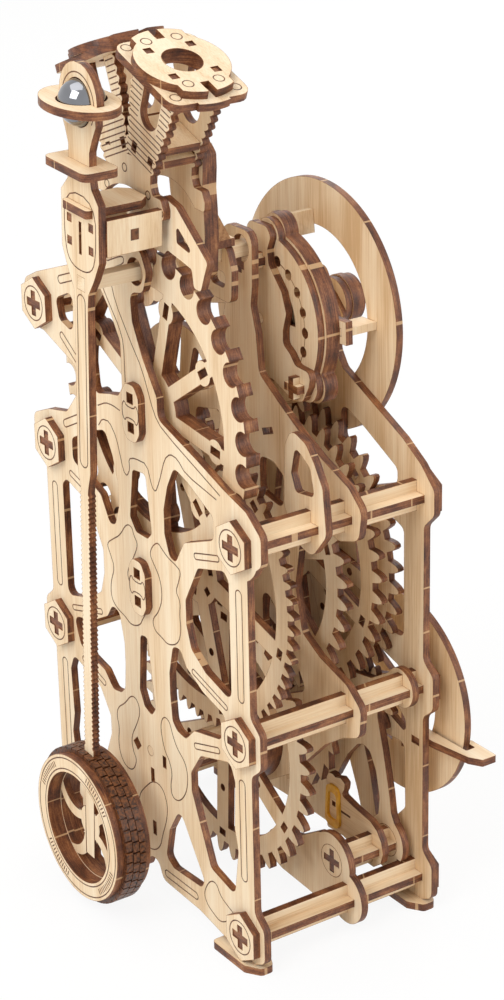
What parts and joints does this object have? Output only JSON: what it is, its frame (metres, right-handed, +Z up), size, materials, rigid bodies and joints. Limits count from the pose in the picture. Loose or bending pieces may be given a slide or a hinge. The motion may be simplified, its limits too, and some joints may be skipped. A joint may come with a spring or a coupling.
{
  "type": "wooden pendulum clock model",
  "caption": "Free-standing plywood clock with an open gear train between tall plates, round dials, and a pendulum with a car wheel bob and a V engine head.",
  "frame": {"origin": "on the ground, midway between the tie bar columns, below the train axles and midway between the rear and front plates", "axes": "+Z up, -Y towards the side that the dials face, +X towards the left side as seen from behind"},
  "size_m": [0.1746, 0.133, 0.3439],
  "materials": {
    "birch_ply": "raw laser-cut birch plywood",
    "beech_rod": "raw wooden rod",
    "steel_ball": "polished",
    "spring_steel": "tempered strip",
    "rubber_band": "matt"
  },
  "bodies": {
    "frame": {"rear_plate": "birch_ply", "small_rear_plate": "birch_ply", "middle_plate": "birch_ply", "lower_middle_plate": "birch_ply", "front_plate": "birch_ply", "inner_front_plate": "birch_ply", "right_tie_bars": "birch_ply", "left_tie_bars": "birch_ply", "rear_washers": "birch_ply", "front_washers": "birch_ply", "feet": "birch_ply", "bearing_covers": "birch_ply", "drum_bracket": "birch_ply", "drum_outer_ring": "birch_ply", "drum_stack": "birch_ply", "drum_posts": "birch_ply", "upper_dial_ring": "birch_ply", "dial_brackets": "birch_ply", "idler_pin": "beech_rod", "spring_barrel": "birch_ply", "mainspring": "spring_steel", "pointer_arm": "birch_ply"},
    "dial_hand_body": {"dial_arbor": "beech_rod", "dial_wheel": "birch_ply", "dial_hand": "birch_ply", "hand_knob": "birch_ply", "drum_rotor": "birch_ply"},
    "idler": {"idler_pinions": "birch_ply"},
    "escape_set": {"escape_arbor": "beech_rod", "pocket_wheel": "birch_ply", "pocket_wheel_backing": "birch_ply", "escape_rear_disc": "birch_ply", "escape_pinion": "birch_ply"},
    "second_set": {"second_arbor": "beech_rod", "second_wheel": "birch_ply", "second_pinion": "birch_ply", "seconds_drive_wheel": "birch_ply"},
    "minute_set": {"minute_wheel": "birch_ply", "transfer_wheel": "birch_ply"},
    "great_set": {"great_arbor": "beech_rod", "great_wheel": "birch_ply", "minute_pinion": "birch_ply", "ratchet_wheel": "birch_ply"},
    "pawl": {"pawl": "birch_ply", "lower_cross_bar": "birch_ply", "rubber_band": "rubber_band"},
    "seconds_set": {"seconds_arbor": "beech_rod", "seconds_pinion": "birch_ply", "seconds_dial": "birch_ply"},
    "pendulum": {"pendulum_rod": "birch_ply", "bob_side_rings": "birch_ply", "bob_tread": "birch_ply", "lamp_ball": "steel_ball", "lamp_ring": "birch_ply", "head_boards": "birch_ply", "anchor_truss": "birch_ply", "engine_walls": "birch_ply", "left_cylinder": "birch_ply", "right_cylinder": "birch_ply", "pivot_arbor": "beech_rod"}
  },
  "joints": [
    {"name": "great_turn", "type": "hinge", "parent": "frame", "child": "great_set", "pos_m": [0, 0, 0.0637], "axis": [0, 1, 0], "continuous": true},
    {"name": "second_turn", "type": "hinge", "parent": "frame", "child": "second_set", "pos_m": [0, 0, 0.1342], "axis": [0, 1, 0], "continuous": true},
    {"name": "escape_turn", "type": "hinge", "parent": "frame", "child": "escape_set", "pos_m": [0, 0, 0.2047], "axis": [0, 1, 0], "continuous": true},
    {"name": "seconds_turn", "type": "hinge", "parent": "frame", "child": "seconds_set", "pos_m": [-0.04167, 0, 0.08087], "axis": [0, 1, 0], "continuous": true},
    {"name": "minute_turn", "type": "hinge", "parent": "frame", "child": "minute_set", "pos_m": [0, 0, 0.1342], "axis": [0, 1, 0], "continuous": true},
    {"name": "idler_turn", "type": "hinge", "parent": "frame", "child": "idler", "pos_m": [0, 0, 0.2047], "axis": [0, 1, 0], "continuous": true},
    {"name": "dial_turn", "type": "hinge", "parent": "frame", "child": "dial_hand_body", "pos_m": [0, 0, 0.2292], "axis": [0, 1, 0], "continuous": true},
    {"name": "pawl_turn", "type": "hinge", "parent": "frame", "child": "pawl", "pos_m": [-0.0555, 0, 0.025], "axis": [0, 1, 0], "range_deg": [-10, 0]},
    {"name": "pendulum_swing", "type": "hinge", "parent": "frame", "child": "pendulum", "pos_m": [-0.0022, 0, 0.259], "axis": [0, 1, 0], "range_deg": [-0.7, 7.3]}
  ],
  "couplings": [
    {"joint": "second_turn", "follows": "great_turn", "ratio": -4},
    {"joint": "escape_turn", "follows": "great_turn", "ratio": 32},
    {"joint": "seconds_turn", "follows": "great_turn", "ratio": 20},
    {"joint": "minute_turn", "follows": "great_turn", "ratio": -0.33333},
    {"joint": "idler_turn", "follows": "great_turn", "ratio": 1.3333},
    {"joint": "dial_turn", "follows": "great_turn", "ratio": -0.33333}
  ]
}
